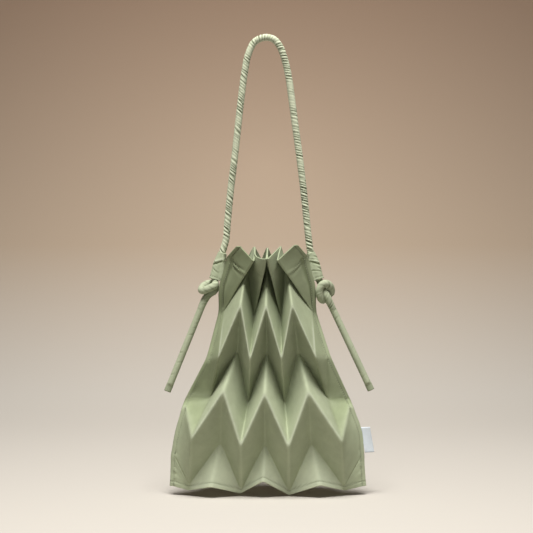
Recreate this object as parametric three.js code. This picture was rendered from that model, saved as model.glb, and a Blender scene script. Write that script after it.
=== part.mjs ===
// Pleated knot bag: two zigzag-folded cloth panels sewn along the sides and the bottom, hung on a cord
// strap that runs through a sleeve on each side seam and is stopped by an overhand knot below it.
// Millimetres, +Z up, +X to the right of someone facing the bag, front facing -Y.
// The origin is the inner side of the strap's highest point, where the bag hangs.
import * as THREE from 'three';
import { mergeVertices } from 'three/addons/utils/BufferGeometryUtils.js';

// Cloth panels
const CLOTH_THICKNESS = 1.2;
const SEAM_OFFSET = 1.0;      // each panel's middle layer stands this far from the line it is sewn along
const OUTER_DEPTH = 0.88;     // ridges next to the side seams stand out this much of the inner ones
const MITRE_LIMIT = 2.5;      // most that a fold's corner is stretched to keep the wall's thickness
const MITRE_DAMPING = 0.02;   // keeps a corner's stretch small where its facets nearly face each other
const FACET_STEPS = 2;        // squares along each side of a facet

// Cord, sleeves and knots
const CORD_RADIUS = 4;
const KNOT_RADIUS = 2.7;      // the cord is squeezed where it is knotted
const KNOT_RING = 6.6;        // ring that the knot's strands wind round, and how far they stand off it
const KNOT_WEAVE = 3;
const KNOT_CENTRE = new THREE.Vector3(70, 0, -298.5);
const KNOT_STEPS = 72;
const STRAP_STEPS = 56;
const TAIL_STEPS = 8;
const CORD_SIDES = 10;
const JOIN_GAP = 0.3;
const SLEEVE_TOP = new THREE.Vector3(53, 0, -254);
const SLEEVE_BOTTOM = new THREE.Vector3(62.5, 0, -286);
const SLEEVE_BORE = 4.5;
const SLEEVE_WALL = 1.2;
const SLEEVE_FLARE = 1.2;     // width at the bottom over width at the top
const SLEEVE_TAB = 6.2;       // from the bore's middle to the tab's edge on the side seam, at the top
const SLEEVE_TAB_FLARE = 1.6;
const STRAP_BELOW_SLEEVE = 1; // length of strap that shows between a sleeve and its knot
const TAIL_TOP = new THREE.Vector3(74.4, 0, -310.5);
const LEFT_TAIL_END = new THREE.Vector3(-119, 0, -420.5);
const RIGHT_TAIL_END = new THREE.Vector3(125.5, 0, -419);

// Label tab on the right side seam
const LABEL_TOP = -463;
const LABEL_BOTTOM = -493.5;
const LABEL_OUT_TOP = 124;
const LABEL_OUT_BOTTOM = 129.5;
const LABEL_THICKNESS = 1;
const LABEL_GAP = 0.5;

// Fold lines from the bottom hem to the mouth. Half widths are given for the side seam and for the outer,
// middle and inner fold columns on either side of the centre column, then the height of each. frontOdd and
// frontEven are how far the front panel stands forward of the side seams at the outer and inner columns
// and at the middle and centre columns, and backOdd and backEven how far the back panel stands behind them.
const FOLDS = [
  { name: 'hem', seam: 117.5, outer: 92.5, middle: 65, inner: 29,
    seamZ: -534, outerZ: -538, middleZ: -532, innerZ: -543.5, centreZ: -526,
    frontOdd: 6, frontEven: 22, backOdd: -6, backEven: -22 },
  { name: 'valley_1', seam: 116, outer: 92.5, middle: 54, inner: 28.5,
    seamZ: -498.5, outerZ: -532.5, middleZ: -480, innerZ: -538, centreZ: -481,
    frontOdd: 8, frontEven: 9, backOdd: -3, backEven: 9 },
  { name: 'ridge_1', seam: 102, outer: 88.5, middle: 50, inner: 28,
    seamZ: -438.5, outerZ: -473.5, middleZ: -416, innerZ: -481, centreZ: -418,
    frontOdd: 47, frontEven: 47, backOdd: 47, backEven: 47 },
  { name: 'valley_2', seam: 99.5, outer: 70, middle: 36, inner: 22,
    seamZ: -430.5, outerZ: -429, middleZ: -371, innerZ: -436.5, centreZ: -371.5,
    frontOdd: 9, frontEven: 9, backOdd: 9, backEven: 9 },
  { name: 'ridge_2', seam: 74, outer: 56, middle: 30, inner: 18.5,
    seamZ: -379, outerZ: -375, middleZ: -314.5, innerZ: -379, centreZ: -315.5,
    frontOdd: 48, frontEven: 48, backOdd: 48, backEven: 48 },
  { name: 'valley_3', seam: 58, outer: 53, middle: 23.5, inner: 16.5,
    seamZ: -325, outerZ: -325, middleZ: -267.5, innerZ: -334.5, centreZ: -267.5,
    frontOdd: 9, frontEven: 9, backOdd: 9, backEven: 9 },
  { name: 'facing', seam: 47.5, outer: 24, middle: 20, inner: 8,
    seamZ: -262, outerZ: -279, middleZ: -257, innerZ: -280, centreZ: -257.5,
    frontOdd: 37, frontEven: 10, backOdd: 37, backEven: 10 },
  { name: 'mouth', seam: 35, outer: 14, middle: 17, inner: 5,
    seamZ: -247, outerZ: -264, middleZ: -246, innerZ: -262, centreZ: -247,
    frontOdd: 46, frontEven: 11, backOdd: 46, backEven: 11 },
];
const COLUMN_NAMES = ['centre', 'inner', 'middle', 'outer', 'seam'];
const SEAM_COLUMN = COLUMN_NAMES.indexOf('seam');

// Strap route from the left sleeve's top over the shoulder to the right one's, in the plane of the seams
const STRAP_ROUTE = [
  { x: -48.6, z: -238 }, { x: -46.8, z: -218 }, { x: -43, z: -179 }, { x: -38.6, z: -143 },
  { x: -34.6, z: -107 }, { x: -30.6, z: -71 }, { x: -26.6, z: -40 }, { x: -21.8, z: -16 },
  { x: -14, z: -1 }, { x: -1.5, z: 4.3 }, { x: 9, z: 1.8 }, { x: 16.2, z: -7 },
  { x: 21.8, z: -22 }, { x: 26.4, z: -42 }, { x: 30, z: -67 }, { x: 33.8, z: -96 },
  { x: 37.8, z: -125 }, { x: 42.4, z: -161 }, { x: 46.4, z: -197 }, { x: 50, z: -232 },
];

function clothMaterial(color) {
  return new THREE.MeshStandardMaterial({ color, roughness: 0.82, metalness: 0 });
}

function namedMesh(name, geometry, material) {
  const mesh = new THREE.Mesh(geometry, material);
  mesh.name = name;
  return mesh;
}

// A point where a fold line meets a fold column, on the middle layer of the panel that faces -Y
function foldPoint(fold, column, odd, even) {
  const reach = Math.abs(column);
  const columnName = COLUMN_NAMES[reach];
  const halfWidth = columnName === 'centre' ? 0 : fold[columnName];
  let depth = reach % 2 ? fold[odd] : fold[even];
  if (columnName === 'outer') depth *= OUTER_DEPTH;
  if (columnName === 'seam') depth = 0;
  return new THREE.Vector3(Math.sign(column) * halfWidth, -depth - SEAM_OFFSET, fold[`${columnName}Z`]);
}

// Directions in which a folded sheet's two faces stand off its middle layer: at each corner, the vector that
// comes closest to the same height over all the facets that meet there
function foldNormals(points) {
  const facets = [];
  for (let row = 0; row + 1 < points.length; row += 1) {
    for (let column = 0; column + 1 < points[row].length; column += 1) {
      const across = points[row][column + 1].clone().sub(points[row][column])
        .add(points[row + 1][column + 1]).sub(points[row + 1][column]);
      const up = points[row + 1][column].clone().sub(points[row][column])
        .add(points[row + 1][column + 1]).sub(points[row][column + 1]);
      facets.push({ row, column, normal: across.cross(up).normalize() });
    }
  }
  return points.map((line, row) => line.map((point, column) => {
    const around = facets.filter((facet) =>
      (facet.row === row || facet.row === row - 1)
      && (facet.column === column || facet.column === column - 1));
    const sum = new THREE.Vector3();
    const spread = new THREE.Matrix3().multiplyScalar(MITRE_DAMPING);
    around.forEach(({ normal }) => {
      sum.add(normal);
      const parts = normal.toArray();
      parts.forEach((a, i) => parts.forEach((b, j) => { spread.elements[3 * i + j] += a * b; }));
    });
    return sum.applyMatrix3(spread.invert()).clampLength(0, MITRE_LIMIT);
  }));
}

// A vector between those given at the corners of a facet
function onFacet(corners, row, column) {
  const low = Math.min(Math.floor(row), corners.length - 2);
  const left = Math.min(Math.floor(column), corners[low].length - 2);
  const bottom = corners[low][left].clone().lerp(corners[low][left + 1], column - left);
  const top = corners[low + 1][left].clone().lerp(corners[low + 1][left + 1], column - left);
  return bottom.lerp(top, row - low);
}

// Turns the diagonals of a board's rear squares so that they lie behind those of its front
function alignDiagonals(board) {
  const rear = board.groups.at(-1);
  for (let i = rear.start; i < rear.start + rear.count; i += 6) {
    const [a, b, d, , c] = board.index.array.slice(i, i + 6);
    board.index.set([a, b, c, a, c, d], i);
  }
}

// A pleated wall: a flat board with a few squares for each facet, moved corner by corner onto the folds
function pleatedPanel(odd, even) {
  const columns = 2 * SEAM_COLUMN;
  const rows = FOLDS.length - 1;
  const points = FOLDS.map((fold) =>
    Array.from({ length: columns + 1 }, (_, i) => foldPoint(fold, i - SEAM_COLUMN, odd, even)));
  const normals = foldNormals(points);
  const board = new THREE.BoxGeometry(columns, rows, 1, columns * FACET_STEPS, rows * FACET_STEPS, 1);
  alignDiagonals(board);
  board.deleteAttribute('normal');
  board.deleteAttribute('uv');
  const wall = mergeVertices(board);
  const corners = wall.attributes.position;
  for (let i = 0; i < corners.count; i += 1) {
    const column = Math.round((corners.getX(i) + columns / 2) * FACET_STEPS) / FACET_STEPS;
    const row = Math.round((corners.getY(i) + rows / 2) * FACET_STEPS) / FACET_STEPS;
    const layer = Math.sign(corners.getZ(i)) * CLOTH_THICKNESS / 2;
    const corner = onFacet(points, row, column).addScaledVector(onFacet(normals, row, column), layer);
    corners.setXYZ(i, corner.x, corner.y, corner.z);
  }
  wall.computeVertexNormals();
  return wall;
}

// A round cord along a curve
function cordTube(curve, radius, steps) {
  const section = new THREE.Shape();
  section.setFromPoints(Array.from({ length: CORD_SIDES }, (_, i) => {
    const angle = (i / CORD_SIDES) * 2 * Math.PI;
    return new THREE.Vector2(radius * Math.cos(angle), radius * Math.sin(angle));
  }));
  return new THREE.ExtrudeGeometry(section, { steps, bevelEnabled: false, extrudePath: curve });
}

// A point on one side of the bag: side is -1 on the left and 1 on the right
function onSide(point, side) {
  return new THREE.Vector3(side * point.x, point.y, point.z);
}

function sleeveDirection() {
  return SLEEVE_BOTTOM.clone().sub(SLEEVE_TOP).normalize();
}

function strapEnd(side) {
  return onSide(SLEEVE_BOTTOM.clone().addScaledVector(sleeveDirection(), STRAP_BELOW_SLEEVE), side);
}

function strap() {
  const route = STRAP_ROUTE.map(({ x, z }) => new THREE.Vector3(x, 0, z));
  const curve = new THREE.CatmullRomCurve3([
    strapEnd(-1), onSide(SLEEVE_BOTTOM, -1), onSide(SLEEVE_TOP, -1),
    ...route,
    onSide(SLEEVE_TOP, 1), onSide(SLEEVE_BOTTOM, 1), strapEnd(1),
  ], false, 'centripetal');
  return cordTube(curve, CORD_RADIUS, STRAP_STEPS);
}

// Drop-shaped cloth tube round the strap, with the point of the drop on the side seam
function sleeve(side) {
  const outer = SLEEVE_BORE + SLEEVE_WALL;
  const outline = new THREE.Shape();
  outline.absarc(0, 0, outer, Math.PI / 3, 5 * Math.PI / 3, false);
  outline.lineTo(SLEEVE_TAB, -SLEEVE_WALL);
  outline.lineTo(SLEEVE_TAB, SLEEVE_WALL);
  const bore = new THREE.Path();
  bore.absarc(0, 0, SLEEVE_BORE, 0, 2 * Math.PI, true);
  outline.holes.push(bore);
  const length = SLEEVE_BOTTOM.distanceTo(SLEEVE_TOP);
  const geometry = new THREE.ExtrudeGeometry(outline, {
    depth: length, bevelEnabled: false, curveSegments: CORD_SIDES,
  });
  const corners = geometry.attributes.position;
  for (let i = 0; i < corners.count; i += 1) {
    const share = corners.getZ(i) / length;
    const flare = THREE.MathUtils.lerp(1, SLEEVE_FLARE, share);
    const tabFlare = THREE.MathUtils.lerp(1, SLEEVE_TAB_FLARE, share);
    const across = corners.getX(i);
    corners.setXY(i, across * (across > 0 ? tabFlare : flare), corners.getY(i) * flare);
  }
  const down = onSide(sleeveDirection(), side);
  const inward = new THREE.Vector3().crossVectors(new THREE.Vector3(0, side, 0), down);
  const across = new THREE.Vector3().crossVectors(down, inward);
  const place = new THREE.Matrix4().makeBasis(inward, across, down);
  geometry.applyMatrix4(place.setPosition(onSide(SLEEVE_TOP, side)));
  geometry.computeVertexNormals();
  return geometry;
}

// Strands of an overhand knot: a trefoil wound on a ring that faces the front, open where its ends leave it
class KnotCurve extends THREE.Curve {
  getPoint(share) {
    const opening = JOIN_GAP / (2 * KNOT_RING);
    const turn = THREE.MathUtils.lerp(opening, 2 * Math.PI - opening, share);
    const reach = KNOT_RING + KNOT_WEAVE * Math.cos(3 * turn);
    return new THREE.Vector3(
      reach * Math.sin(2 * turn), KNOT_WEAVE * Math.sin(3 * turn), reach * Math.cos(2 * turn));
  }
}

function knot(side) {
  const geometry = cordTube(new KnotCurve(), KNOT_RADIUS, KNOT_STEPS);
  const centre = onSide(KNOT_CENTRE, side);
  return geometry.translate(centre.x, centre.y, centre.z);
}

function tail(side, end) {
  const top = onSide(TAIL_TOP, side);
  return cordTube(new THREE.LineCurve3(top, end), CORD_RADIUS, TAIL_STEPS);
}

// Half width of the side seam at a height
function seamAt(height) {
  const above = FOLDS.findIndex((fold) => fold.seamZ > height);
  const [low, high] = [FOLDS[above - 1], FOLDS[above]];
  const share = (height - low.seamZ) / (high.seamZ - low.seamZ);
  return THREE.MathUtils.lerp(low.seam, high.seam, share);
}

// Flat tab caught in the right side seam
function label() {
  const outline = new THREE.Shape([
    new THREE.Vector2(seamAt(LABEL_BOTTOM) + LABEL_GAP, LABEL_BOTTOM),
    new THREE.Vector2(LABEL_OUT_BOTTOM, LABEL_BOTTOM),
    new THREE.Vector2(LABEL_OUT_TOP, LABEL_TOP),
    new THREE.Vector2(seamAt(LABEL_TOP) + LABEL_GAP, LABEL_TOP),
  ]);
  const geometry = new THREE.ExtrudeGeometry(outline, { depth: LABEL_THICKNESS, bevelEnabled: false });
  geometry.translate(0, 0, -LABEL_THICKNESS / 2);
  return geometry.rotateX(Math.PI / 2);
}

const CLOTH_COLOUR = 0x93a07a;
const CORD_COLOUR = 0x8b9a72;
const LABEL_COLOUR = 0xdfe5e8;

const bag = new THREE.Group();
bag.add(namedMesh('front_panel', pleatedPanel('frontOdd', 'frontEven'), clothMaterial(CLOTH_COLOUR)));
const backPanel = namedMesh('back_panel', pleatedPanel('backOdd', 'backEven'), clothMaterial(CLOTH_COLOUR));
backPanel.rotation.z = Math.PI;
bag.add(backPanel);
bag.add(namedMesh('strap', strap(), clothMaterial(CORD_COLOUR)));
for (const { word, side, tailEnd } of [
  { word: 'left', side: -1, tailEnd: LEFT_TAIL_END },
  { word: 'right', side: 1, tailEnd: RIGHT_TAIL_END },
]) {
  bag.add(namedMesh(`${word}_sleeve`, sleeve(side), clothMaterial(CLOTH_COLOUR)));
  bag.add(namedMesh(`${word}_knot`, knot(side), clothMaterial(CORD_COLOUR)));
  bag.add(namedMesh(`${word}_tail`, tail(side, tailEnd), clothMaterial(CORD_COLOUR)));
}
bag.add(namedMesh('label', label(), clothMaterial(LABEL_COLOUR)));

export default bag;
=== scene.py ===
"""Looks of the pleated knot bag: two zigzag-folded cloth panels, a gathered cord strap with a knot and a
tail on each side, two cloth sleeves that carry it on the side seams, and a small blank tab."""
import math
from collections import namedtuple

import bmesh
import bpy
import numpy as np
from mathutils import Matrix, Vector, noise


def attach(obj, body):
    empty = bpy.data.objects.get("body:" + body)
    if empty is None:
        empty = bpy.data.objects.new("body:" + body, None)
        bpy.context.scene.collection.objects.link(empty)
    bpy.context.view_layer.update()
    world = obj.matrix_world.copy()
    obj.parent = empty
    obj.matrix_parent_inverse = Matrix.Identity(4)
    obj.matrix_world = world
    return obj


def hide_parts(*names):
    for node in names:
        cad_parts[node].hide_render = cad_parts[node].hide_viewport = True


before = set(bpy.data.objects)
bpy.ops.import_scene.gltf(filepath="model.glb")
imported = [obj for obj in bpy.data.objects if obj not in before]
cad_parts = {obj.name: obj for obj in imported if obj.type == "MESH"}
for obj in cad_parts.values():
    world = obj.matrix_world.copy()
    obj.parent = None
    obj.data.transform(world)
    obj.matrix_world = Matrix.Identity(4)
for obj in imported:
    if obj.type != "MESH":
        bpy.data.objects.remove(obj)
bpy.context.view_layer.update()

BODY = "root"
MM = 0.001

# Camera
CAMERA_AWAY = 1800 * MM
CAMERA_HEIGHT = -270.6 * MM
SENSOR_WIDTH = 36.0
FRAME_PIXELS = 533
PIXEL = 1.2 * MM             # size of a pixel in the plane of the strap

# Floor of pale paper that rises in a curve behind the bag
FLOOR_GAP = 0.4 * MM
FLOOR_BEFORE = 3.0           # how far it reaches before the bag, and behind it before it curves up
FLOOR_BEHIND = 0.8
FLOOR_CURVE = 2.4
FLOOR_WALL = 2.0             # how far it goes on straight up above the curve
FLOOR_HALF_WIDTH = 4.0
FLOOR_STEPS = 60
# Painted shade: the paper is painted darker and browner from low to high
PAPER_LOW = (0.495, 0.466, 0.423)
PAPER_MIDDLE = (0.415, 0.33, 0.25)
PAPER_HIGH = (0.36, 0.245, 0.172)
PAPER_HEIGHTS = (-0.52, 0.75)     # where the low and the high colour lie
PAPER_MIDDLE_AT = 0.24            # where the middle colour lies, as a share of the way up
PAPER_NEAR = (-0.75, -0.3)        # painted shade: the paper darkens between these, towards the camera
PAPER_NEAR_SHADE = 0.1
PAPER_LIGHT_POOL_REACH = 0.95           # painted pool of light: the paper is palest behind the bag and dims this far from it
PAPER_LIGHT_POOL = (1.22, 0.8)

# Light
Light = namedtuple("Light", "name place target size power colour")
LIGHTS = [
    Light("key", (-0.03, -1.0, 2.4), (0, -0.05, -0.4), (1.5, 1.5), 182, (1, 0.985, 0.96)),
    Light("fill", (-0.4, -2.3, -0.15), (0, 0, -0.42), (1.5, 1.5), 4.5, (0.97, 1, 0.93)),
    Light("backdrop", (0, 1.0, 0.5), (0, 2.2, -0.5), (1.6, 0.5), 2.5, (1, 0.92, 0.83)),
]
ROOM_COLOUR = (1, 0.88, 0.74, 1)
ROOM_STRENGTH = 0.075

# Cloths: colours where plain, on a ridge with wear and painted highlight, and in painted shade, and the width
# of a thread
Cloth = namedtuple("Cloth", "name plain worn shaded thread")
# on the cord cover the ridge colour is a painted highlight on the crests of the gathers
CORD_COVER = Cloth("cord_cover", (0.36, 0.395, 0.275), (0.66, 0.69, 0.52), (0.11, 0.13, 0.07), 0.6 * MM)
PLEATED_CLOTH = Cloth("pleated_cloth", (0.36, 0.4, 0.272), (0.46, 0.5, 0.37), (0.245, 0.28, 0.168), 0.6 * MM)
SEWING_THREAD = Cloth("thread", (0.42, 0.46, 0.31), (0.5, 0.55, 0.38), (0.25, 0.28, 0.16), 0.3 * MM)
LABEL_TAPE = Cloth("label_tape", (0.6, 0.65, 0.7), (0.68, 0.72, 0.76), (0.5, 0.55, 0.6), 0.4 * MM)

# Cord: routes as points across and up, in the plane of the strap
CORD_RADIUS = 4 * MM
CORD_SIDES = 32
CORD_STEP = 0.8 * MM
STRAP_ROUTE = [
    (-48.6, -238), (-46.8, -218), (-43, -179), (-38.6, -143), (-34.6, -107), (-30.6, -71), (-26.6, -40),
    (-21.8, -16), (-14, -1), (-1.5, 4.3), (9, 1.8), (16.2, -7), (21.8, -22), (26.4, -42), (30, -67),
    (33.8, -96), (37.8, -125), (42.4, -161), (46.4, -197), (50, -232),
]
SLEEVE_TOP = (53, -254)
SLEEVE_BOTTOM = (62.5, -286)
STRAP_BELOW_SLEEVE = 1
TAIL_TOP = (74.4, -310.5)
TAIL_END = {"left": (-119, -420.5), "right": (125.5, -419)}
TAIL_BELOW_TOP = 11.4 * MM   # where the tail takes over from the knot's own cord
TAIL_CLOSED = 11 * MM        # length of its end where the cover is closed and pressed flat
TAIL_PRESSED = 0.4           # share of its thickness that is pressed away there, and share that it widens
TAIL_WIDENED = 0.06
SIDES = {"left": -1, "right": 1}

# Gathers of the cord's cover and the sleeves: how far apart they are, how deep, how far each reaches round
# the cord and how far it strays round it from the front or the back, in radians
Gathers = namedtuple("Gathers", "spacing depth reach stray")
STRAP_GATHERS = Gathers(1.6 * MM, 1.2 * MM, 1.3, 0.45)
KNOT_GATHERS = Gathers(3.2 * MM, 0.3 * MM, 1.2, math.pi)
TAIL_GATHERS = Gathers(7 * MM, 0.22 * MM, 0.9, math.pi)
SLEEVE_GATHERS = Gathers(2.6 * MM, 0.75 * MM, 0.7, math.pi)
# How far a gather runs along the cord for each radian round it, on the strap by the share of its length
STRAP_SLANT_AT = (0, 0.42, 0.5, 0.58, 1)
STRAP_SLANT = (-2.6, -2.3, -0.6, -1.2, -1.9)
KNOT_SLANT = 2.0 * MM
TAIL_SLANT = 1.6 * MM
SLEEVE_SLANT = 3.2 * MM
COVER_PUFF = 0.12 * MM       # how far the strap's cover stands off the cord between the gathers
GATHER_GROUP = 16 * MM       # size of the stretches with more and with fewer gathers
SMOOTH_STRETCH = 0.645       # share of the strap's length where it is nearly smooth
BEND_TOP = 0.5               # and where it bends most

# Knots, as points of the cord's route from the strap's end to the tail, chosen from the photo
KNOT_RADIUS = 4.5 * MM
KNOT_STEP = 1.1 * MM
KNOT_ROUTE = {
    "left": [
        (-62.5, 0, -286), (-60.8, -2.5, -290), (-61.5, -6, -293.5), (-66, -7, -295.5), (-71, -7, -297.8),
        (-76.3, -5, -300), (-78.5, 0, -298.5), (-76.5, 4.5, -294.5), (-72, 7, -291.5), (-66.5, 8, -290.5),
        (-61.8, 6.5, -293), (-61, 4, -298), (-64.5, 3.5, -301.5), (-69, 2.5, -303.5), (-73, 1, -308.5),
        (-76.3, 0, -315), (-79.1, 0, -322),
    ],
    "right": [
        (62.5, 0, -286), (65.5, 5, -291), (70, 10.5, -297), (74, 10.5, -302.5), (77.5, 6.5, -303.5),
        (78, 1.5, -298.5), (76, -3, -293.5), (72, -5.5, -290.3), (66.5, -7, -291.8), (63.2, -7, -298.5),
        (63.5, -6, -305.5), (66.5, -2.5, -310.5), (70, 3.5, -310.5), (69, 6, -304), (66, 4, -298.5),
        (67.8, -0.5, -298.6), (71, -3.8, -304.5), (74.5, -3.5, -311.5), (79.8, 0, -322),
    ],
}
STRAND_APART = 1.7           # knotted strands closer than this many radii push each other apart
STRAND_LENGTH = 3.2          # cord this many radii away along itself counts as another strand
SETTLING_ROUNDS = 160
SETTLING_PUSH = 0.16         # shares of each push, of the cord's bend and of its way from the drawn route
SETTLING_STRAIGHTEN = 0.2
SETTLING_RETURN = 0.05

# Cloth panels: fold lines from the bottom hem to the mouth. across and height give the corners of each
# fold line from the left side seam to the right one. The depths are how far the front stands forward of the
# plane of the strap and the back behind it, at the fold columns with odd and with even numbers, and seam is
# how far both side seams stand forward of it.
Fold = namedtuple("Fold", "name across height front_odd front_even back_odd back_even seam")
FOLDS = [
    Fold("hem", (-115.8, -92.7, -65.8, -31.1, -4.1, 26.9, 63.4, 92.7, 119.4),
         (-534, -538, -531, -541.5, -524, -543.5, -529, -538, -534), 8, 29, -8, -29, 0),
    Fold("valley_1", (-114.6, -92.6, -54.3, -30.5, -1.8, 26.9, 53.1, 92.6, 117),
         (-498, -531, -479, -537.5, -481.3, -540, -480, -534, -499), 12, 11, -6, 9, 1),
    Fold("ridge_1", (-100.8, -88.5, -50.8, -30.4, -2.3, 25.7, 49.1, 89.1, 103.2),
         (-439, -472, -415, -480.5, -418.4, -481.5, -416, -476, -438), 47, 47, 47, 47, 6),
    Fold("valley_2", (-98.4, -66.9, -34, -22.1, 0.6, 22.1, 37.6, 73.5, 100.8),
         (-431, -428, -370.3, -436, -371.5, -437, -371.5, -430, -431), 4, 9, 9, 9, -8),
    Fold("ridge_2", (-71.4, -55.7, -30.4, -19.3, -0.6, 17.5, 29.8, 56.8, 76.2),
         (-380, -375.5, -314.4, -379.2, -315.6, -379.2, -314.4, -375.5, -378), 48, 48, 48, 48, 13),
    Fold("valley_3", (-57, -51.4, -23.3, -14.9, 0.6, 17.9, 23.3, 55, 59.4),
         (-325, -325, -267.6, -334.5, -267.6, -334.5, -267.6, -325, -325), 3, 9, 9, 9, 0),
    Fold("facing", (-46.8, -25.5, -18.8, -4.2, 1.3, 5.4, 20, 25, 49.2),
         (-259, -282, -257, -283, -257, -283, -257, -282, -259), 38, 10, 38, 10, 19),
    Fold("mouth", (-35.6, -14.7, -14.3, -0.5, 1.5, 0.8, 17.3, 12.3, 37),
         (-247, -264.7, -246.2, -262.3, -247.3, -262.3, -245.6, -264.1, -245.4), 50, 11, 50, 11, 35),
]
VALLEY_1, RIDGE_1, VALLEY_2, RIDGE_2, VALLEY_3, FACING = range(1, 7)   # fold lines counted from the hem
STITCH_COLUMN, OUTER_COLUMN = 1, 2   # a side's stitch line and first fold column, counted from its edge
BACK_MOUTH_ACROSS = (-35.6, -25, -15, -6, 0.9, 8, 16.8, 23, 37)
OUTER_DEPTH = 0.88           # ridges next to the side seams stand out this much of the inner ones
SEAM_OFFSET = 0.55           # each panel's middle layer stands this far from the plane of the seams
SEAM_BAND = 4.5              # width of the flat sewn band along each side
BAND_TILT = 3                # how far its outer edge lies behind its stitch line
CLOTH_THICKNESS = 1.6 * MM   # at the hems, which are folded double
SINGLE_SHARE = 0.55          # thickness of the single cloth over that of the hems
HEM_STITCH = 5.5 * MM        # from the hem's edge to its stitch line

# How far the folds are rounded at each fold line and at the columns, as shares of the way to the next one,
# and how the rounding weighs the cloth to either side
FOLD_ROUND_ROWS = (0.08, 0.08, 0.14, 0.075, 0.14, 0.07, 0.1, 0.12)
FOLD_ROUND_COLUMNS = 0.12
SIDE_ROUND = 2.4             # how much rounder the middle fold is in the strips at the sides
ROUNDING = ((-1, 0.06), (-0.66, 0.12), (-0.33, 0.2), (0, 0.24), (0.33, 0.2), (0.66, 0.12), (1, 0.06))
# Where the sheet's points lie between two folds, across the sewn bands and in the strip above the hem
NEAR_FOLD = (0, 0.015, 0.03, 0.045, 0.06, 0.08, 0.11, 0.15, 0.2, 0.32)
IN_BAND = (0, 0.3, 0.6, 0.85)
HEM_STRIP, HEM_FINE, HEM_COARSE = 0.2, 0.0125, 0.02

# Colour marks on the cloth, from -1, painted shade, to 1, wear and painted highlight, and how deep its
# creases are
FOLD_MARK_DEPTH = 2.0 * MM   # rounding that marks a fold fully
# painted shade on the flaps and side strips above the middle valley, left and right, on the side facets above
# the lowest ridge, and over the upper rows
LEFT_PAINTED_SHADE, RIGHT_PAINTED_SHADE, FACET_PAINTED_SHADE, UPPER_SHADE = 1.0, 0.65, 1.1, 0.35
# painted highlight on the outer ridges and the hem, painted shade in the bottom corner creases and the folds
# beside the flaps' seams
OUTER_RIDGE_HIGHLIGHT, HEM_HIGHLIGHT, CORNER_SHADE, FLAP_SHADE = 1.6, 0.75, 0.9, 0.8
CORNER_CREASE = 0.7 * MM
FLAP_FOLD = 2.2 * MM
FLAP_CREASE = {"left": 1.5 * MM, "right": 0.7 * MM}
FLAP_CREASE_FROM = (47, -261)     # where the creases on a flap spread from, across and up
FLAP_CREASE_ANGLE = 0.72          # their middle direction below level, and the angle from one to the next
FLAP_CREASE_PITCH = 0.3
PILLOW = (-0.7, 0.9)              # least and most that a facet swells
SEAM_PUCKER = 0.9 * MM
STITCH_DIP = 0.3 * MM

# Stitches
STITCH_PITCH = 3 * MM
STITCH_SIZE = (0.3 * MM, 0.22 * MM, 1.05 * MM)   # half width, half height and half length
STITCH_LIFT = 0.05 * MM

# Sleeves: half width on the outer side, reach to the seam on the inner side and half depth, top to bottom
SLEEVE_OUT = (4.9, 6.3, 6.9, 6.5, 6.2)
SLEEVE_IN = (5.0, 7.2, 8.4, 8.6, 8.6)
SLEEVE_DEEP = (4.9, 5.3, 5.4, 5.4, 5.6)
SLEEVE_SEAM = (20, 15, 12, 9.5, 8)   # how far the seam that it is sewn to stands forward
SLEEVE_RINGS, SLEEVE_SIDES = 46, 48
SLEEVE_WALL = 0.9 * MM
SLEEVE_STITCH = 2.8 * MM             # from its lower edge to its stitch line
SLEEVE_HALF = 5 * MM                 # size that its creases are taken against

# Label: corners of the folded tape at the seam and at its outer fold, top and bottom
LABEL_SEAM = ((112.2, -463.6), (117.8, -494))
LABEL_FOLD = ((124, -463), (129.3, -493.2))
LABEL_ROWS, LABEL_COLUMNS = 25, 41
LABEL_ROUND = 0.04                   # how round its outer fold is, as a share of its reach
TAPE_THICKNESS = 0.4 * MM


def photo_camera():
    """Level camera square to the front of the bag."""
    data = bpy.data.cameras.new("photo_camera")
    data.sensor_width = SENSOR_WIDTH
    data.lens = SENSOR_WIDTH * CAMERA_AWAY / (FRAME_PIXELS * PIXEL)
    camera = bpy.data.objects.new("photo_camera", data)
    camera.location = (0, -CAMERA_AWAY, CAMERA_HEIGHT)
    camera.rotation_euler = (math.pi / 2, 0, 0)
    bpy.context.collection.objects.link(camera)
    bpy.context.scene.camera = camera


def unit(vectors):
    return vectors / np.linalg.norm(vectors, axis=-1, keepdims=True)


def eased(share):
    share = np.clip(share, 0, 1)
    return share * share * (3 - 2 * share)


def bell(values, middle, width):
    return np.exp(-((values - middle) / width) ** 2)


def in_plane(x, z):
    return np.array((x * MM, 0, z * MM))


def walked_along(route):
    return np.concatenate([[0], np.cumsum(np.linalg.norm(np.diff(route, axis=0), axis=1))])


def length_of(route):
    return float(walked_along(route)[-1])


def evenly(route, step):
    """The same route with its points a step apart."""
    along = walked_along(route)
    marks = np.linspace(0, along[-1], max(2, int(round(along[-1] / step)) + 1))
    return np.stack([np.interp(marks, along, route[:, k]) for k in range(3)], axis=1)


def smooth_route(points, step):
    """Ring centres a step apart on one smooth curve through the points."""
    points = np.array(points, float)
    knots = np.concatenate([[0], np.cumsum(np.sqrt(np.linalg.norm(np.diff(points, axis=0), axis=1)))])
    slopes = np.gradient(points, knots, axis=0)
    fine = []
    for i in range(len(points) - 1):
        span = knots[i + 1] - knots[i]
        t = np.linspace(0, 1, 40, endpoint=i == len(points) - 2)[:, None]
        fine.append((2 * t**3 - 3 * t**2 + 1) * points[i] + (t**3 - 2 * t**2 + t) * span * slopes[i]
                    + (3 * t**2 - 2 * t**3) * points[i + 1] + (t**3 - t**2) * span * slopes[i + 1])
    return evenly(np.concatenate(fine), step)


def route_frames(route, front):
    """Two directions across a route, which don't twist about it."""
    tangents = unit(np.gradient(route, axis=0))
    first = []
    across = np.array(front, float)
    for tangent in tangents:
        across = unit(across - across.dot(tangent) * tangent)
        first.append(across)
    return np.array(first), np.cross(tangents, first)


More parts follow.
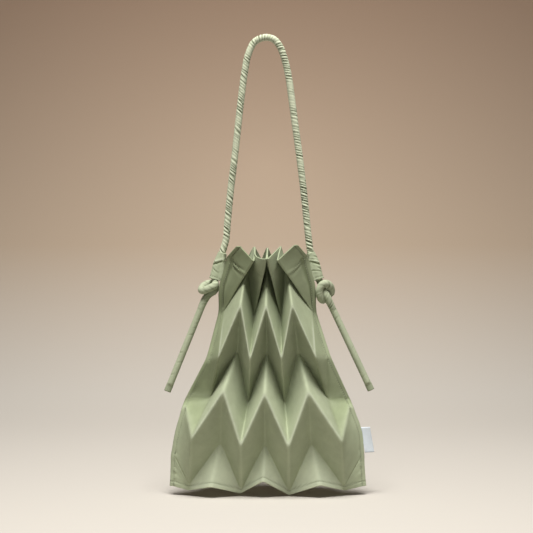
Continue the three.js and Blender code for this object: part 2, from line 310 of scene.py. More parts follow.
def new_piece(name, bm, material, slot, *nodes):
    """Turns a bmesh into a piece that rides on the bag and takes the place of the CAD nodes named."""
    mesh = bpy.data.meshes.new(name)
    bm.to_mesh(mesh)
    bm.free()
    for polygon in mesh.polygons:
        polygon.use_smooth = True
    mesh.materials.append(material)
    piece = bpy.data.objects.new(name, mesh)
    bpy.context.collection.objects.link(piece)
    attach(piece, BODY)
    if nodes:
        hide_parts(*nodes)
    return piece


def cloth_grid(places, lengths, marks=None, closed=False, outward=True):
    """A sheet of squares laid on a grid of places, with flat sizes as UV and named marks on its points.

    places is rows x columns x 3, and lengths rows x columns x 2. A closed sheet joins its first and last
    column.
    """
    rows, columns = places.shape[:2]
    bm = bmesh.new()
    bmesh.ops.create_grid(bm, x_segments=columns - 1, y_segments=rows - 1, size=1)
    uv = bm.loops.layers.uv.new("flat_cloth")
    layers = {name: bm.verts.layers.float.new(name) for name in (marks or {})}
    at = {}
    for vert in bm.verts:
        column = round((vert.co.x + 1) / 2 * (columns - 1))
        row = round((vert.co.y + 1) / 2 * (rows - 1))
        at[vert] = (row, column)
    for vert, (row, column) in at.items():
        vert.co = places[row, column]
        for name, layer in layers.items():
            vert[layer] = marks[name][row, column]
    for face in bm.faces:
        for loop in face.loops:
            loop[uv].uv = lengths[at[loop.vert]]
    if not outward:
        bmesh.ops.reverse_faces(bm, faces=bm.faces)
    if closed:
        bmesh.ops.remove_doubles(bm, verts=bm.verts, dist=1e-7)
    return bm


def cloth_wall(piece, thickness, offset):
    """Gives a sheet its thickness, all behind it with an offset of -1 and half to either side with 0."""
    wall = piece.modifiers.new("cloth_wall", "SOLIDIFY")
    wall.thickness = thickness
    wall.offset = offset
    return wall


def around(sides=CORD_SIDES):
    return np.linspace(-math.pi, math.pi, sides + 1)


def joined_round(values):
    """Values round a cord, with those in the last column the same as in the first, where the cover closes."""
    values[:, -1] = values[:, 0]
    return values


def gathers(seed, along, angles, sizes, slant):
    """How far a gathered cover stands off its cord: many short slanted folds, worked out ring by ring.

    slant is how far a fold runs along the cord for each radian round it, for the whole cord or ring by ring.
    The folds lie in turn on the front and the back.
    """
    rng = np.random.default_rng(seed)
    slant = np.broadcast_to(slant, along.shape)
    stand = np.zeros((len(along), len(angles)))
    for i in range(int(along[-1] / sizes.spacing)):
        centre = (i + rng.uniform(0.1, 0.9)) * sizes.spacing
        turn = math.pi * (i % 2) + rng.uniform(-sizes.stray, sizes.stray)
        height = sizes.depth * rng.uniform(0.55, 1.1)
        width = rng.uniform(0.65, 1.05) * MM
        spread = sizes.reach * rng.uniform(0.7, 1.3)
        lean = np.interp(centre, along, slant) * rng.uniform(0.75, 1.25)
        round_by = (angles - turn + math.pi) % (2 * math.pi) - math.pi
        near = np.abs(along - centre) < 4 * width + np.abs(lean) * math.pi
        off = (along[near][:, None] - centre - lean * round_by[None, :]) / width
        fade = np.exp(-(round_by / spread) ** 4)
        stand[near] -= height * fade * (1 - 0.6 * off**2) * np.exp(-off**2 / 2)
    return stand


def tube(route, radii, fold):
    """A closed round piece along a route. radii is the distance from the route, ring by ring."""
    angles = around(radii.shape[1] - 1)
    first, second = route_frames(route, (0, -1, 0))
    places = (route[:, None, :]
              + radii[..., None] * (np.cos(angles)[None, :, None] * first[:, None, :]
                                    + np.sin(angles)[None, :, None] * second[:, None, :]))
    lengths = np.stack(np.meshgrid(angles * CORD_RADIUS, walked_along(route)), axis=-1)
    bm = cloth_grid(places, lengths, {"fold": fold}, closed=True)
    bmesh.ops.holes_fill(bm, edges=[edge for edge in bm.edges if edge.is_boundary], sides=0)
    bmesh.ops.recalc_face_normals(bm, faces=bm.faces)
    return bm


def strap_points():
    """The strap's way from below the left sleeve to below the right one."""
    top, bottom = np.array(SLEEVE_TOP), np.array(SLEEVE_BOTTOM)
    right = [top, bottom, bottom + STRAP_BELOW_SLEEVE * unit(bottom - top)]
    left = [(-x, z) for x, z in reversed(right)]
    return [in_plane(x, z) for x, z in left + STRAP_ROUTE + right]


def gathered_strap(material):
    """The strap: a cord whose cloth cover is gathered along it, but for the outer side of its bend."""
    route = smooth_route(strap_points(), CORD_STEP)
    along = np.linspace(0, length_of(route), len(route))
    angles = around()
    share = along / along[-1]
    stand = gathers(7, along, angles, STRAP_GATHERS, np.interp(share, STRAP_SLANT_AT, STRAP_SLANT) * MM)
    groups = np.array([noise.noise(Vector((s / GATHER_GROUP, 4.2, 0))) for s in along])
    gathered = np.clip(0.75 + 1.3 * groups, 0.12, 1)
    gathered *= 1 - 0.75 * bell(share, SMOOTH_STRETCH, 0.02)
    gathered *= np.interp(share, (0.05, 0.06, 0.94, 0.95), (0.2, 1, 1, 0.2))
    outer_side = 0.5 + 0.5 * np.cos(angles - math.pi / 2)[None, :]
    stand *= gathered[:, None] * (1 - 0.75 * bell(share, BEND_TOP, 0.06)[:, None] * outer_side)
    # fold mark: painted highlight on the crests of the gathers and painted shade in their grooves
    fold = joined_round(np.clip(0.6 + stand / (0.55 * MM), -1, 1))
    radii = joined_round(CORD_RADIUS + COVER_PUFF + stand)
    piece = new_piece("strap", tube(route, radii, fold), material, "cord", "strap")


def settled(route, radius):
    """The route of a knotted cord once its strands have pushed each other apart."""
    rope = smooth_route(route, KNOT_STEP)
    drawn = rope.copy()
    index = np.arange(len(rope))
    strands = np.abs(index[:, None] - index[None, :]) * KNOT_STEP > STRAND_LENGTH * radius
    least = STRAND_APART * radius
    for _ in range(SETTLING_ROUNDS):
        gap = rope[:, None, :] - rope[None, :, :]
        apart = np.linalg.norm(gap, axis=2)
        push = np.where(strands & (apart < least), least - apart, 0)
        move = SETTLING_PUSH * ((push / np.maximum(apart, 1e-9))[..., None] * gap).sum(1)
        move[1:-1] += SETTLING_STRAIGHTEN * (rope[:-2] + rope[2:] - 2 * rope[1:-1])
        move[1:-1] += SETTLING_RETURN * (drawn - rope)[1:-1]
        move[:3] = move[-3:] = 0
        rope += move
    return evenly(rope, CORD_STEP)


def tied_knot(word, material):
    """The knot below a sleeve, tied in the strap's own cord."""
    route = settled(np.array(KNOT_ROUTE[word]) * MM, KNOT_RADIUS)
    along = np.linspace(0, length_of(route), len(route))
    stand = gathers(11 + SIDES[word], along, around(), KNOT_GATHERS, KNOT_SLANT)
    thin = 0.95 * CORD_RADIUS
    radius = np.interp(along / along[-1], (0, 0.1, 0.85, 1), (thin, KNOT_RADIUS, KNOT_RADIUS, CORD_RADIUS))
    # fold mark: painted shade in the grooves of the gathers
    fold = joined_round(np.clip(stand / (0.5 * MM), -1, 1))
    radii = joined_round(radius[:, None] + stand)
    new_piece(f"{word}_knot", tube(route, radii, fold), material, "cord", f"{word}_knot")


def free_tail(word, material):
    """The free end of the cord: a plain covered cord, pressed flat where its cover is closed."""
    top = in_plane(SIDES[word] * TAIL_TOP[0], TAIL_TOP[1])
    end = in_plane(*TAIL_END[word])
    top = top + TAIL_BELOW_TOP * unit(end - top)
    route = evenly(np.array([top, end]), CORD_STEP)
    along = np.linspace(0, length_of(route), len(route))
    angles = around()
    stand = gathers(23 + SIDES[word], along, angles, TAIL_GATHERS, TAIL_SLANT)
    flat = eased((TAIL_CLOSED - along[-1] + along) / (4 * MM))[:, None]
    width, depth = 1 + TAIL_WIDENED * flat, 1 - TAIL_PRESSED * flat
    oval = 1 / np.sqrt((np.sin(angles)[None, :] / width) ** 2 + (np.cos(angles)[None, :] / depth) ** 2)
    radii = (CORD_RADIUS + stand) * oval
    radii[-1] *= 0.93
    # fold mark: painted shade in the grooves of the gathers, and darker along the pressed end
    fold = joined_round(np.clip(stand / (0.5 * MM), -1, 1) - 0.35 * flat)
    bm = tube(route, joined_round(radii), fold)
    piece = new_piece(f"{word}_tail", bm, material, "cord", f"{word}_tail")


def fold_corners(back):
    """Corners of the folds of one panel, in fold lines from the hem to the mouth and columns from the left.

    The flat band along each side seam adds a column beside each seam.
    """
    way = 1 if back else -1
    lines = []
    for fold in FOLDS:
        across = list(BACK_MOUTH_ACROSS if back and fold.name == "mouth" else fold.across)
        height = list(fold.height)
        odd, even = (fold.back_odd, fold.back_even) if back else (fold.front_odd, fold.front_even)
        outer, seam, edge = odd * OUTER_DEPTH, -way * fold.seam, -way * (fold.seam - BAND_TILT)
        depths = [edge, seam, outer, even, odd, even, odd, even, outer, seam, edge]
        across.insert(1, across[0] + SEAM_BAND)
        across.insert(-1, across[-1] - SEAM_BAND)
        height.insert(1, height[0])
        height.insert(-1, height[-1])
        lines.append([(x * MM, way * (depth + SEAM_OFFSET) * MM, z * MM)
                      for x, depth, z in zip(across, depths, height)])
    return np.array(lines)


def on_folds(corners, row, column):
    """Points of the sharply folded sheet at numbers of fold lines and columns.

    Above the middle valley, the strips at the sides are creased from corner to corner.
    """
    low = np.clip(np.floor(row).astype(int), 0, corners.shape[0] - 2)
    left = np.clip(np.floor(column).astype(int), 0, corners.shape[1] - 2)
    a, b = (row - low)[..., None], (column - left)[..., None]
    here, over = corners[low, left], corners[low, left + 1]
    above, across = corners[low + 1, left], corners[low + 1, left + 1]
    smooth = (1 - a) * ((1 - b) * here + b * over) + a * ((1 - b) * above + b * across)
    left_crease = np.where(a + b <= 1, here + b * (over - here) + a * (above - here),
                           across + (1 - b) * (above - across) + (1 - a) * (over - across))
    right_crease = np.where(a <= b, here + b * (over - here) + a * (across - over),
                            here + a * (above - here) + b * (across - above))
    creased = (low == VALLEY_2)[..., None]
    smooth = np.where(creased & (left == STITCH_COLUMN)[..., None], left_crease, smooth)
    return np.where(creased & (left == corners.shape[1] - 2 - STITCH_COLUMN)[..., None], right_crease, smooth)


def side_column(corners, column):
    """Number of the column from the nearer side seam's edge."""
    return np.minimum(column, corners.shape[1] - 1 - column)


def on_rounded_folds(corners, row, column, soft_column=FOLD_ROUND_COLUMNS):
    """Points of the folded sheet with its folds rounded as pressed cloth is."""
    soft_row = np.interp(row, range(len(FOLD_ROUND_ROWS)), FOLD_ROUND_ROWS)
    in_strip = eased((OUTER_COLUMN - 0.05 - side_column(corners, column)) / 0.6)
    soft_row = soft_row * (1 + SIDE_ROUND * in_strip * bell(row, VALLEY_2, 0.55))
    total = 0
    for up, share_up in ROUNDING:
        for over, share_over in ROUNDING if soft_column else ((0, 1),):
            total = total + share_up * share_over * on_folds(
                corners, row + up * soft_row, column + over * soft_column)
    return total


def face_directions(places, back):
    """Directions square to a panel's grid, out of the bag."""
    square = np.cross(np.gradient(places, axis=1), np.gradient(places, axis=0))
    return unit(square) * (-1 if back else 1)


def between_folds(number):
    after = [number + share for share in NEAR_FOLD]
    before = [number + 1 - share for share in reversed(NEAR_FOLD[1:])]
    return after + [number + 0.5] + before


def column_numbers(count):
    """Where the sheet's points lie across it, close together near each fold column."""
    numbers = list(IN_BAND)
    for column in range(1, count - 1):
        numbers += between_folds(column)
    return np.array(numbers + [count - 1 + share for share in IN_BAND] + [count])


def row_numbers(count):
    """Where the sheet's points lie up it, close together near each fold line and in the hem."""
    numbers = list(np.arange(0, HEM_STRIP, HEM_FINE)) + list(np.arange(HEM_STRIP, 0.999, HEM_COARSE))
    for row in range(1, count):
        numbers += between_folds(row)
    return np.array(numbers + [count])


def rumple(places, size, seed):
    flat = places.reshape(-1, 3) / size
    shift = Vector((seed, seed, seed))
    return np.array([noise.noise(Vector(p) + shift) for p in flat]).reshape(places.shape[:2])


def seam_bulges(row, column, last):
    """How far the sides stand out below the sleeves and beside the label."""
    below_sleeve, by_label = bell(row, VALLEY_3 + 0.45, 0.3), bell(row, VALLEY_1 + 0.5, 0.35)
    left = eased(OUTER_COLUMN - column) * (4.5 * below_sleeve + 1.5 * by_label)
    right = eased(column - last + OUTER_COLUMN) * (3.5 * below_sleeve + 4.5 * by_label)
    return (right - left) * MM


def mouth_bow(row, column):
    """How the strip left of the middle bows at the mouth, where the gathered folds press on it."""
    share = np.clip(column - OUTER_COLUMN - 1, 0, 1)
    bow = np.sin(math.pi * share**1.5) * eased((row - VALLEY_3 - 0.3) / 1.5)
    return bow[..., None] * np.array((-6.5, -2.5, -2.0)) * MM


def flap_creases(places, side):
    """Creases that spread over a flap from where the sleeve's top is sewn to the seam."""
    from_x, from_z = FLAP_CREASE_FROM
    off_x = (places[..., 0] - side * from_x * MM) * -side
    off_z = places[..., 2] - from_z * MM
    far = np.hypot(off_x, off_z)
    turned = np.arctan2(-off_z, off_x) - FLAP_CREASE_ANGLE
    fan = np.cos(turned * 2 * math.pi / FLAP_CREASE_PITCH) * bell(turned, 0, 0.36)
    return fan * np.clip(far / (14 * MM), 0, 1) * eased((32 * MM - far) / (18 * MM))


def corner_creases(row, from_side):
    """The sharp fold that cuts off each bottom corner, up to the seam's band."""
    return (bell(row, VALLEY_1, 0.022) * eased((OUTER_COLUMN + 0.1 - from_side) / 0.3)
            * eased((from_side - STITCH_COLUMN + 0.1) / 0.3))


def flap_folds(row, from_side):
    """The narrow fold beside the seam of each flap."""
    return (bell(from_side, STITCH_COLUMN + 0.14, 0.1) * eased((row - VALLEY_3 - 0.05) / 0.15)
            * eased((FACING + 0.2 - row) / 0.3))


def wear_and_painted_light(corners, row, column, out):
    """Colour marks: wear and painted highlight on ridges, painted highlight on the hem, painted shade in
    valleys and creases, on the sides and flaps and over the upper rows.
    """
    # wear and painted highlight on convex folds, painted shade in the valleys
    creased = on_folds(corners, row, column) - on_rounded_folds(corners, row, column, 0)
    fold = (creased * out).sum(-1) / FOLD_MARK_DEPTH
    from_side = side_column(corners, column)
    # painted shade on the sides and flaps and over the upper rows
    on_side = eased((OUTER_COLUMN + 0.2 - from_side) / 0.3)
    strip = eased((row - VALLEY_2 - 0.05) / 0.25)
    strip = strip * np.where(column < corners.shape[1] / 2, LEFT_PAINTED_SHADE, RIGHT_PAINTED_SHADE)
    facet = FACET_PAINTED_SHADE * bell(row, RIDGE_1 + 0.55, 0.5)
    shade = np.maximum(on_side * (strip + facet), UPPER_SHADE * eased((row - RIDGE_2 + 0.3) / 0.8))
    # painted highlight along the outer ridges and on the hem
    outer_ridge = (bell(from_side, OUTER_COLUMN, 0.06) * eased((row - RIDGE_2 + 0.08) / 0.08)
                   * eased((VALLEY_3 - 0.1 - row) / 0.5))
    hem = eased((VALLEY_1 + 0.04 - row) / 0.12) * eased((from_side - OUTER_COLUMN) / 0.2)
    fold = fold - shade + OUTER_RIDGE_HIGHLIGHT * outer_ridge + HEM_HIGHLIGHT * hem
    # painted shade in the bottom corner creases and the folds beside the flaps' seams
    fold = fold - CORNER_SHADE * corner_creases(row, from_side) - FLAP_SHADE * flap_folds(row, from_side)
    return np.clip(fold, -1, 1)


def swells_and_creases(corners, places, row, column, seed):
    """How far the cloth stands off its folded shape: swelling facets, rumples, puckered seams and creases."""
    from_side = side_column(corners, column)
    pillow = np.random.default_rng(seed).uniform(*PILLOW, corners.shape[:2])
    swell = np.sin(math.pi * (row % 1)) * np.sin(math.pi * (column % 1))
    stand = swell * pillow[row.astype(int), column.astype(int)] * MM
    stand += 0.35 * MM * rumple(places, 30 * MM, 3.1) + 0.12 * MM * rumple(places, 9 * MM, 8.7)
    stand += bell(from_side, STITCH_COLUMN, 0.2) * SEAM_PUCKER * rumple(places, 5 * MM, 17.3)
    stand -= CORNER_CREASE * corner_creases(row, from_side) + FLAP_FOLD * flap_folds(row, from_side)
    flap = eased((row - VALLEY_3 - 0.3) / 0.4) * (from_side < OUTER_COLUMN)
    for word, side in SIDES.items():
        here = (column - corners.shape[1] / 2) * side > 0
        stand += FLAP_CREASE[word] * flap * here * flap_creases(places, side)
    return stand


def walked(places, axis):
    """Lengths along a grid's rows or columns."""
    steps = np.linalg.norm(np.diff(places, axis=axis), axis=2)
    start = np.zeros_like(np.take(steps, [0], axis=axis))
    return np.concatenate([start, np.cumsum(steps, axis=axis)], axis=axis)


def flat_lengths(places):
    return np.stack(np.meshgrid(walked(places, 1).mean(0), walked(places, 0).mean(1)), axis=-1)


def on_grid(values, marks_row, marks_column, row, column):
    """Values of a grid between its points."""
    i = np.interp(row, marks_row, np.arange(len(marks_row)))
    j = np.interp(column, marks_column, np.arange(len(marks_column)))
    i0 = np.minimum(i.astype(int), len(marks_row) - 2)
    j0 = np.minimum(j.astype(int), len(marks_column) - 2)
    a, b = (i - i0)[:, None], (j - j0)[:, None]
    return ((1 - a) * ((1 - b) * values[i0, j0] + b * values[i0, j0 + 1])
            + a * ((1 - b) * values[i0 + 1, j0] + b * values[i0 + 1, j0 + 1]))


def stitching(name, lines, lift, material):
    """Short stitches of thread end to end along lines, given as points and directions out of the cloth."""
    half_width, half_height, half_length = STITCH_SIZE
    bm = bmesh.new()
    for points, out in lines:
        along = walked_along(points)

        def at(values, place):
            return np.array([np.interp(place, along, values[:, k]) for k in range(3)])

        for i in range(int(along[-1] / STITCH_PITCH)):
            middle = (i + 0.5) * STITCH_PITCH
            way = unit(at(points, middle + 0.4 * MM) - at(points, middle - 0.4 * MM))
            up = at(out, middle)
            up = unit(up - up.dot(way) * way)
            axes = np.stack([half_width * np.cross(up, way), half_height * up, half_length * way], axis=1)
            turn = Matrix(axes.tolist()).to_4x4()
            turn.translation = Vector(at(points, middle) + lift * up)
            bmesh.ops.create_uvsphere(bm, u_segments=6, v_segments=4, radius=1, matrix=turn)
    bmesh.ops.recalc_face_normals(bm, faces=bm.faces)
    return new_piece(name, bm, material, "cloth")


def doubled_hems(piece, row, from_hem):
    """Makes a panel's wall thick where the cloth is folded double, at the hem and at the mouth's facing."""
    doubled = np.maximum(eased((row - FACING) / 0.1), eased((HEM_STITCH - from_hem) / (1.5 * MM)))
    group = piece.vertex_groups.new(name="doubled")
    for index, share in enumerate((SINGLE_SHARE + (1 - SINGLE_SHARE) * doubled).ravel()):
        group.add([index], float(share), "REPLACE")
    cloth_wall(piece, CLOTH_THICKNESS, 0).vertex_group = "doubled"


def pleated_panel(name, material, thread, back=False):
    """One zigzag-folded wall of the bag."""
    corners = fold_corners(back)
    last_row, last_column = corners.shape[0] - 1, corners.shape[1] - 1
    rows, columns = row_numbers(last_row), column_numbers(last_column)
    column, row = np.meshgrid(columns, rows)
    places = on_rounded_folds(corners, row, column)
    out = face_directions(places, back)
    fold = wear_and_painted_light(corners, row, column, out)
    if not back:
        places = places + mouth_bow(row, column)
    places[..., 0] += seam_bulges(row, column, last_column)
    stand = swells_and_creases(corners, places, row, column, 5 if back else 3)
    from_hem, over = walked(places, 0), walked(places, 1)
    band = len(IN_BAND)
    from_stitch = np.minimum(np.abs(over - over[:, [band]]), np.abs(over - over[:, [-1 - band]]))
    from_facing = np.abs(from_hem - from_hem[np.argmin(np.abs(rows - FACING))])
    # stitch lines: the cloth dips there and is painted darker with shade
    seam_line = np.maximum.reduce([bell(from_hem, HEM_STITCH, 0.9 * MM), bell(from_stitch, 0, 0.8 * MM),
                                   0.8 * bell(from_facing, 0, 0.8 * MM)])
    places = places + (stand - STITCH_DIP * seam_line)[..., None] * out
    lengths = flat_lengths(places)
    bm = cloth_grid(places, lengths, {"fold": fold, "seam_line": seam_line}, outward=not back)
    piece = new_piece(name, bm, material, "cloth", name)
    doubled_hems(piece, row, from_hem)
    hem_rows = np.array([np.interp(HEM_STITCH, from_hem[:, j], rows) for j in range(len(columns))])
    sewn = [(hem_rows, columns), (np.full(len(columns), float(FACING)), columns),
            (rows, np.full(len(rows), float(STITCH_COLUMN))),
            (rows, np.full(len(rows), float(last_column - STITCH_COLUMN)))]
    sewn = [(on_grid(places, rows, columns, r, c), on_grid(out, rows, columns, r, c)) for r, c in sewn]
    lift = CLOTH_THICKNESS * SINGLE_SHARE / 2 + STITCH_LIFT
    threads = stitching(f"{name}_stitches", sewn, lift, thread)


def cord_sleeve(word, material, thread):
    """A short cloth sleeve round the strap, pinched to the side seam on its inner side."""
    side = SIDES[word]
    top = in_plane(side * SLEEVE_TOP[0], SLEEVE_TOP[1])
    bottom = in_plane(side * SLEEVE_BOTTOM[0], SLEEVE_BOTTOM[1])
    long = np.linalg.norm(bottom - top)
    down, front = unit(bottom - top), np.array((0, -1, 0))
    inward = np.cross(down, front) * side
    along = np.linspace(0, long, SLEEVE_RINGS)
    from_edge = long - along
    angles = around(SLEEVE_SIDES)
    cosine, sine = np.cos(angles)[None, :], np.sin(angles)[None, :]
    stand = gathers(31 + side, along, angles, SLEEVE_GATHERS, SLEEVE_SLANT * side)
    stand = stand * eased((from_edge - 5 * MM) / (8 * MM))[:, None]
    from_crease = along[:, None] - long * (0.36 - 0.13 * cosine)
    crease = 0.5 * bell(from_crease, -2.6 * MM, 2 * MM) - 1.1 * bell(from_crease, 0, 1.1 * MM)
    stand = stand + eased((sine + 0.2) / 0.6) * crease * MM
    # stitch line: the cloth dips there and is painted darker with shade
    seam_line = bell(from_edge, SLEEVE_STITCH, 0.7 * MM)[:, None] * np.ones_like(stand)
    edge = 0.3 * MM * eased((3 * MM - from_edge) / MM)[:, None]
    swell = 1 + (stand + edge - STITCH_DIP * seam_line) / SLEEVE_HALF
    stages = np.linspace(0, long, len(SLEEVE_OUT))
    wide, reach, deep, seam = (np.interp(along, stages, sizes)[:, None] * MM
                               for sizes in (SLEEVE_OUT, SLEEVE_IN, SLEEVE_DEEP, SLEEVE_SEAM))
    pinch = np.clip(cosine, 0, 1)
    across = np.where(cosine > 0, reach, wide) * cosine * swell
    depth = deep * sine * (1 - 0.6 * pinch**2) * swell + seam * pinch**3
    middles = top + along[:, None, None] * down
    places = joined_round(middles + across[..., None] * inward + depth[..., None] * front)
    lengths = np.stack(np.meshgrid(walked(places, 1).mean(0), along), axis=-1)
    # fold mark: painted shade in the grooves of the gathers and the crease, painted highlight on their crests
    fold = joined_round(np.clip(stand / (0.6 * MM), -1, 1))
    bm = cloth_grid(places, lengths, {"fold": fold, "seam_line": seam_line}, closed=True)
    bmesh.ops.recalc_face_normals(bm, faces=bm.faces)
    piece = new_piece(f"{word}_sleeve", bm, material, "cloth", f"{word}_sleeve")
    cloth_wall(piece, SLEEVE_WALL, -1)
    ring = int(np.argmin(np.abs(from_edge - SLEEVE_STITCH)))
    out = unit(places[ring] - middles[ring])
    threads = stitching(f"{word}_sleeve_stitches", [(places[ring], out)], 2 * STITCH_LIFT, thread)


def blank_label(material):
    """A small tape folded in two, with its ends sewn into the right side seam."""
    down, over = np.meshgrid(np.linspace(0, 1, LABEL_ROWS), np.linspace(-1, 1, LABEL_COLUMNS), indexing="ij")
    seam, outer = np.array(LABEL_SEAM), np.array(LABEL_FOLD)
    reach = np.clip(1 + LABEL_ROUND - np.hypot(over, LABEL_ROUND), 0, 1)
    at_seam = seam[0] + down[..., None] * (seam[1] - seam[0])
    at_fold = outer[0] + down[..., None] * (outer[1] - outer[0])
    flat = at_seam + reach[..., None] * (at_fold - at_seam)
    deep = 0.42 * np.tanh(over / 0.05) + 0.9 * reach * np.sin(2.4 * down - 0.6)
    places = np.stack([flat[..., 0], deep, flat[..., 1]], axis=-1) * MM
    lengths = flat_lengths(places)
    piece = new_piece("label", cloth_grid(places, lengths), material, "label", "label")
    cloth_wall(piece, TAPE_THICKNESS, 0)


def set_inputs(node, values):
    for name, value in values.items():
        node.inputs[name].default_value = value


def new_material(name):
    material = bpy.data.materials.new(name)
    material.use_nodes = True
    return material, material.node_tree, material.node_tree.nodes["Principled BSDF"]


def spread(tree, value, low, high, to_low=0, to_high=1):
    """Values from one range spread over another."""
    node = tree.nodes.new("ShaderNodeMapRange")
    set_inputs(node, {"From Min": low, "From Max": high, "To Min": to_low, "To Max": to_high})
    tree.links.new(value, node.inputs["Value"])
    return node.outputs["Result"]


def product(tree, first, second):
    node = tree.nodes.new("ShaderNodeMath")
    node.operation = "MULTIPLY"
    tree.links.new(first, node.inputs[0])
    tree.links.new(second, node.inputs[1])
    return node.outputs[0]


def scaled(tree, colour, share):
    node = tree.nodes.new("ShaderNodeVectorMath")
    node.operation = "SCALE"
    tree.links.new(colour, node.inputs[0])
    tree.links.new(share, node.inputs["Scale"])
    return node.outputs["Vector"]


def split(tree, vector):
    node = tree.nodes.new("ShaderNodeSeparateXYZ")
    tree.links.new(vector, node.inputs["Vector"])
    return node.outputs


def three_colours(tree, share, low, middle, high, middle_at=0.5):
    node = tree.nodes.new("ShaderNodeValToRGB")
    node.color_ramp.elements[0].color = (*low, 1)
    node.color_ramp.elements[1].color = (*high, 1)
    node.color_ramp.elements.new(middle_at).color = (*middle, 1)
    tree.links.new(share, node.inputs["Fac"])
    return node.outputs["Color"]


def mark(tree, name):
    """One of the marks on a sheet's points."""
    node = tree.nodes.new("ShaderNodeAttribute")
    node.attribute_name = name
    return node.outputs["Fac"]


def thread_waves(tree, length, thread):
    """The rise and fall of threads that lie side by side along a length of cloth."""
    turns = tree.nodes.new("ShaderNodeMath")
    turns.operation = "MULTIPLY"
    turns.inputs[1].default_value = math.pi / thread
    tree.links.new(length, turns.inputs[0])
    wave = tree.nodes.new("ShaderNodeMath")
    wave.operation = "SINE"
    tree.links.new(turns.outputs[0], wave.inputs[0])
    return wave.outputs[0]


def cloth_material(cloth):
    """Matt plain weave, a little cloudy, paler along pressed folds with wear and painted highlight, and
    darker with painted shade in valleys and stitch lines.
    """
    material, tree, shader = new_material(cloth.name)
    set_inputs(shader, {"Roughness": 0.9, "Sheen Weight": 0.12, "Sheen Roughness": 0.5,
                        "Sheen Tint": (*cloth.plain, 1), "Specular IOR Level": 0.12})
    place = tree.nodes.new("ShaderNodeTexCoord")
    # painted shade below the plain colour, wear and painted highlight above it, following the fold mark
    folds = spread(tree, mark(tree, "fold"), -1, 1)
    colour = three_colours(tree, folds, cloth.shaded, cloth.plain, cloth.worn)
    cloudy = tree.nodes.new("ShaderNodeTexNoise")
    set_inputs(cloudy, {"Scale": 55, "Detail": 9, "Roughness": 0.65})
    tree.links.new(place.outputs["Object"], cloudy.inputs["Vector"])
    clouds = spread(tree, cloudy.outputs["Fac"], 0.3, 0.7, 0.91, 1.09)
    flat = split(tree, place.outputs["UV"])
    weave = product(tree, *(thread_waves(tree, flat[axis], cloth.thread) for axis in ("X", "Y")))
    threads = spread(tree, weave, -1, 1, 0.93, 1.05)
    # painted shade along the sunk stitch lines
    sunk = spread(tree, mark(tree, "seam_line"), 0, 1, 1, 0.62)
    tinted = scaled(tree, colour, product(tree, product(tree, clouds, threads), sunk))
    tree.links.new(tinted, shader.inputs["Base Color"])
    bump = tree.nodes.new("ShaderNodeBump")
    set_inputs(bump, {"Strength": 0.5, "Distance": 0.06 * MM})
    tree.links.new(weave, bump.inputs["Height"])
    tree.links.new(bump.outputs["Normal"], shader.inputs["Normal"])
    return material


def pale_paper():
    """Matt paper, painted browner and darker with height, painted darker towards the camera, and with a
    painted pool of light behind the bag.
    """
    material, tree, shader = new_material("pale_paper")
    set_inputs(shader, {"Roughness": 0.9, "Specular IOR Level": 0.1})
    place = tree.nodes.new("ShaderNodeTexCoord").outputs["Object"]
    at = split(tree, place)
    rise = spread(tree, at["Z"], *PAPER_HEIGHTS)
    colour = three_colours(tree, rise, PAPER_LOW, PAPER_MIDDLE, PAPER_HIGH, PAPER_MIDDLE_AT)
    # painted shade towards the camera
    near = spread(tree, at["Y"], *PAPER_NEAR, PAPER_NEAR_SHADE, 1)
    level = tree.nodes.new("ShaderNodeVectorMath")
    level.operation = "MULTIPLY"
    level.inputs[1].default_value = (1, 0, 1)
    tree.links.new(place, level.inputs[0])
    away = tree.nodes.new("ShaderNodeVectorMath")
    away.operation = "LENGTH"
    tree.links.new(level.outputs["Vector"], away.inputs[0])
    # painted pool of light behind the bag
    light_pool = spread(tree, away.outputs["Value"], 0, PAPER_LIGHT_POOL_REACH, *PAPER_LIGHT_POOL)
    tree.links.new(scaled(tree, colour, product(tree, near, light_pool)), shader.inputs["Base Color"])
    return material


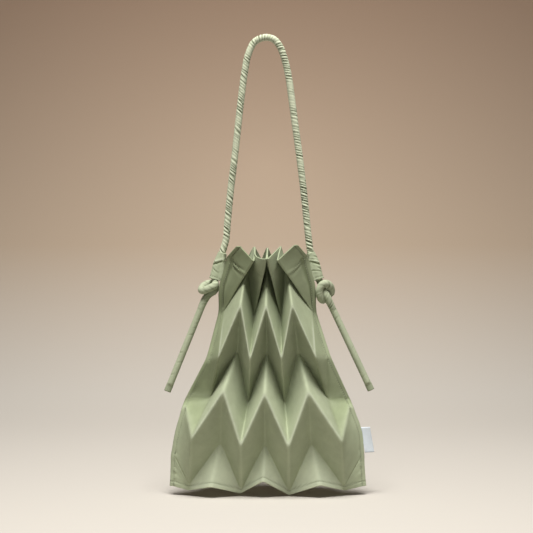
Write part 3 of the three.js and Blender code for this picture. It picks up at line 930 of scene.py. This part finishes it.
def pale_floor():
    """A plain pale floor that rises in a wide curve behind the bag."""
    low = min(z for fold in FOLDS for z in fold.height) * MM - CLOTH_THICKNESS / 2 - FLOOR_GAP
    bend = FLOOR_CURVE * math.pi / 2
    bm = bmesh.new()
    bmesh.ops.create_grid(bm, x_segments=2, y_segments=FLOOR_STEPS, size=1)
    for vert in bm.verts:
        along = (vert.co.y + 1) / 2 * (FLOOR_BEFORE + FLOOR_BEHIND + bend + FLOOR_WALL) - FLOOR_BEFORE
        turn = min(max((along - FLOOR_BEHIND) / FLOOR_CURVE, 0), math.pi / 2)
        above = max(along - FLOOR_BEHIND - bend, 0)
        vert.co = (vert.co.x * FLOOR_HALF_WIDTH, min(along, FLOOR_BEHIND) + FLOOR_CURVE * math.sin(turn),
                   low + FLOOR_CURVE * (1 - math.cos(turn)) + above)
    mesh = bpy.data.meshes.new("floor")
    bm.to_mesh(mesh)
    bm.free()
    for polygon in mesh.polygons:
        polygon.use_smooth = True
    mesh.materials.append(pale_paper())
    floor = bpy.data.objects.new("floor", mesh)
    bpy.context.collection.objects.link(floor)


def studio_light():
    """A wide soft light from above, a weak one from the front and one on the backdrop."""
    world = bpy.data.worlds.new("studio")
    world.use_nodes = True
    set_inputs(world.node_tree.nodes["Background"], {"Color": ROOM_COLOUR, "Strength": ROOM_STRENGTH})
    bpy.context.scene.world = world
    for light in LIGHTS:
        data = bpy.data.lights.new(light.name, "AREA")
        data.shape = "RECTANGLE"
        data.size, data.size_y = light.size
        data.energy = light.power
        data.color = light.colour
        lamp = bpy.data.objects.new(light.name, data)
        lamp.location = light.place
        lamp.rotation_euler = (Vector(light.target) - Vector(light.place)).to_track_quat("-Z", "Y").to_euler()
        bpy.context.collection.objects.link(lamp)
    bpy.context.scene.view_settings.view_transform = "Standard"


photo_camera()
cord_cover = cloth_material(CORD_COVER)
gathered_strap(cord_cover)
for word in SIDES:
    tied_knot(word, cord_cover)
    free_tail(word, cord_cover)
pleated_cloth = cloth_material(PLEATED_CLOTH)
sewing_thread = cloth_material(SEWING_THREAD)
pleated_panel("front_panel", pleated_cloth, sewing_thread)
pleated_panel("back_panel", pleated_cloth, sewing_thread, back=True)
for word in SIDES:
    cord_sleeve(word, pleated_cloth, sewing_thread)
blank_label(cloth_material(LABEL_TAPE))
pale_floor()
studio_light()
